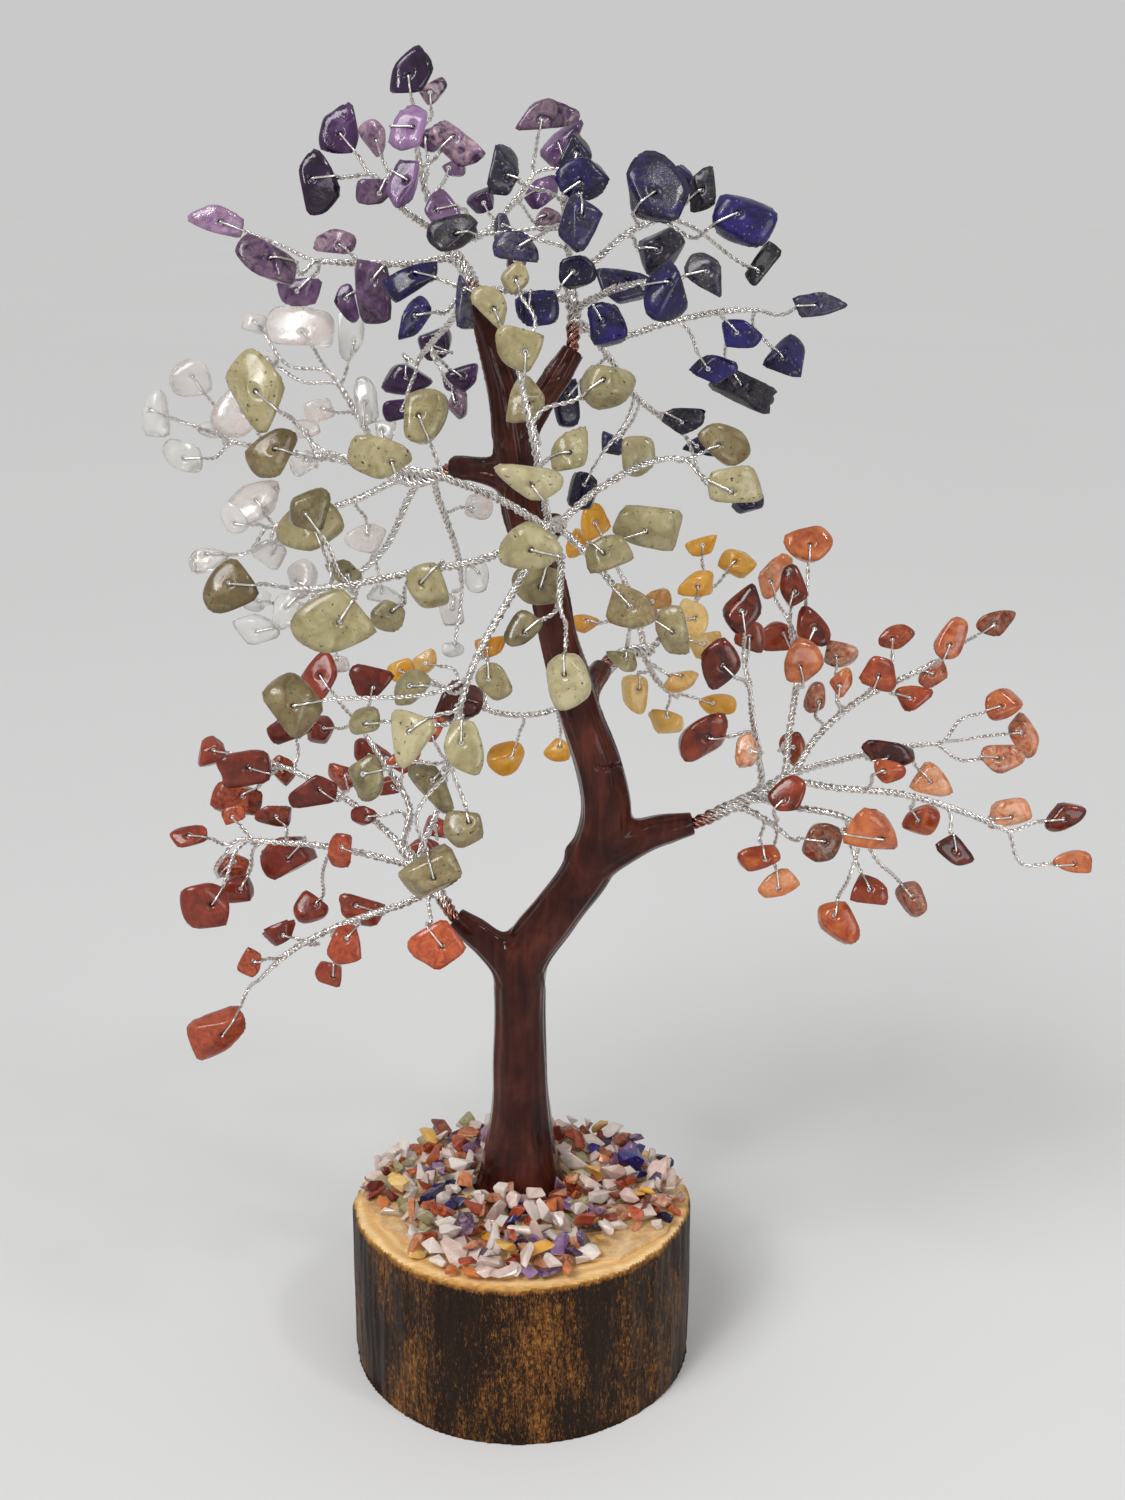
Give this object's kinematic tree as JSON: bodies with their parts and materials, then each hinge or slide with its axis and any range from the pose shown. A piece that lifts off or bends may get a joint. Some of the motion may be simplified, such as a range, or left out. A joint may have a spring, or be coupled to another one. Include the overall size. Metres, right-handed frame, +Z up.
{
  "type": "gemstone tree ornament",
  "caption": "Tabletop ornament tree of tumbled gemstone chips on twisted wire boughs, with a lacquered trunk set in a slice of log topped with crushed stone.",
  "frame": {"origin": "middle of the log slice's underside", "axes": "+Z up, the front of the tree towards -Y, the long carnelian bough towards +X"},
  "size_m": [0.2071, 0.1193, 0.2806],
  "materials": {
    "log_wood": "pale sawn top, dark charred and varnished side",
    "clear_glue": "dried clear glue",
    "silver_wire": "bright drawn wire, twisted",
    "brown_lacquer": "glossy red-brown lacquer over moulding putty",
    "amethyst_stone": "tumbled polished purple quartz, translucent",
    "lapis_stone": "tumbled polished opaque blue stone with grey and gold flecks",
    "quartz_stone": "tumbled polished clear to milky quartz",
    "green_stone": "tumbled polished cloudy green quartz with dark specks",
    "yellow_stone": "tumbled polished opaque yellow stone",
    "carnelian_stone": "tumbled polished translucent orange-red chalcedony",
    "jasper_stone": "tumbled polished opaque brick-red stone"
  },
  "bodies": {
    "stand": {"log_base": "log_wood", "glue_bed": "clear_glue", "gravel_quartz": "quartz_stone", "gravel_carnelian": "carnelian_stone", "gravel_jasper": "jasper_stone", "gravel_amethyst": "amethyst_stone", "gravel_green": "green_stone", "gravel_lapis": "lapis_stone", "gravel_yellow": "yellow_stone", "trunk_wire_core": "silver_wire", "trunk_coat": "brown_lacquer"},
    "amethyst_bough": {"amethyst_rope": "silver_wire", "amethyst_branches": "silver_wire", "amethyst_twigs": "silver_wire", "amethyst_chips": "amethyst_stone"},
    "lapis_bough": {"lapis_rope": "silver_wire", "lapis_branches": "silver_wire", "lapis_twigs": "silver_wire", "lapis_chips": "lapis_stone"},
    "quartz_bough": {"quartz_rope": "silver_wire", "quartz_branches": "silver_wire", "quartz_twigs": "silver_wire", "quartz_chips": "quartz_stone"},
    "green_bough": {"green_rope": "silver_wire", "green_branches": "silver_wire", "green_twigs": "silver_wire", "green_chips": "green_stone"},
    "yellow_bough": {"yellow_rope": "silver_wire", "yellow_branches": "silver_wire", "yellow_twigs": "silver_wire", "yellow_chips": "yellow_stone"},
    "carnelian_bough": {"carnelian_rope": "silver_wire", "carnelian_branches": "silver_wire", "carnelian_twigs": "silver_wire", "carnelian_chips": "carnelian_stone"},
    "jasper_bough": {"jasper_rope": "silver_wire", "jasper_branches": "silver_wire", "jasper_twigs": "silver_wire", "jasper_chips": "jasper_stone"}
  },
  "joints": [
    {"name": "amethyst_bough_bend", "type": "hinge", "parent": "stand", "child": "amethyst_bough", "pos_m": [-0.00712, 0.00798, 0.229], "axis": [0, -1, 0], "range_deg": [0, 8]},
    {"name": "lapis_bough_bend", "type": "hinge", "parent": "stand", "child": "lapis_bough", "pos_m": [0.01022, 0.01006, 0.21977], "axis": [0, 0.9536, -0.3011], "range_deg": [0, 8]},
    {"name": "quartz_bough_bend", "type": "hinge", "parent": "stand", "child": "quartz_bough", "pos_m": [-0.0119, 0.01097, 0.1975], "axis": [0.2588, 0.428, 0.8659], "range_deg": [0, 8]},
    {"name": "green_bough_bend", "type": "hinge", "parent": "stand", "child": "green_bough", "pos_m": [0.00699, -0.0046, 0.18826], "axis": [0.9207, 0.3903, 0], "range_deg": [0, 8]},
    {"name": "yellow_bough_bend", "type": "hinge", "parent": "stand", "child": "yellow_bough", "pos_m": [0.01687, 0.0206, 0.15187], "axis": [-0.8605, 0.1701, 0.4803], "range_deg": [0, 8]},
    {"name": "carnelian_bough_bend", "type": "hinge", "parent": "stand", "child": "carnelian_bough", "pos_m": [0.03508, 0.007, 0.12181], "axis": [0, 1, 0], "range_deg": [0, 8]},
    {"name": "jasper_bough_bend", "type": "hinge", "parent": "stand", "child": "jasper_bough", "pos_m": [-0.01276, 0.00806, 0.09913], "axis": [0, -1, 0], "range_deg": [0, 8]}
  ]
}
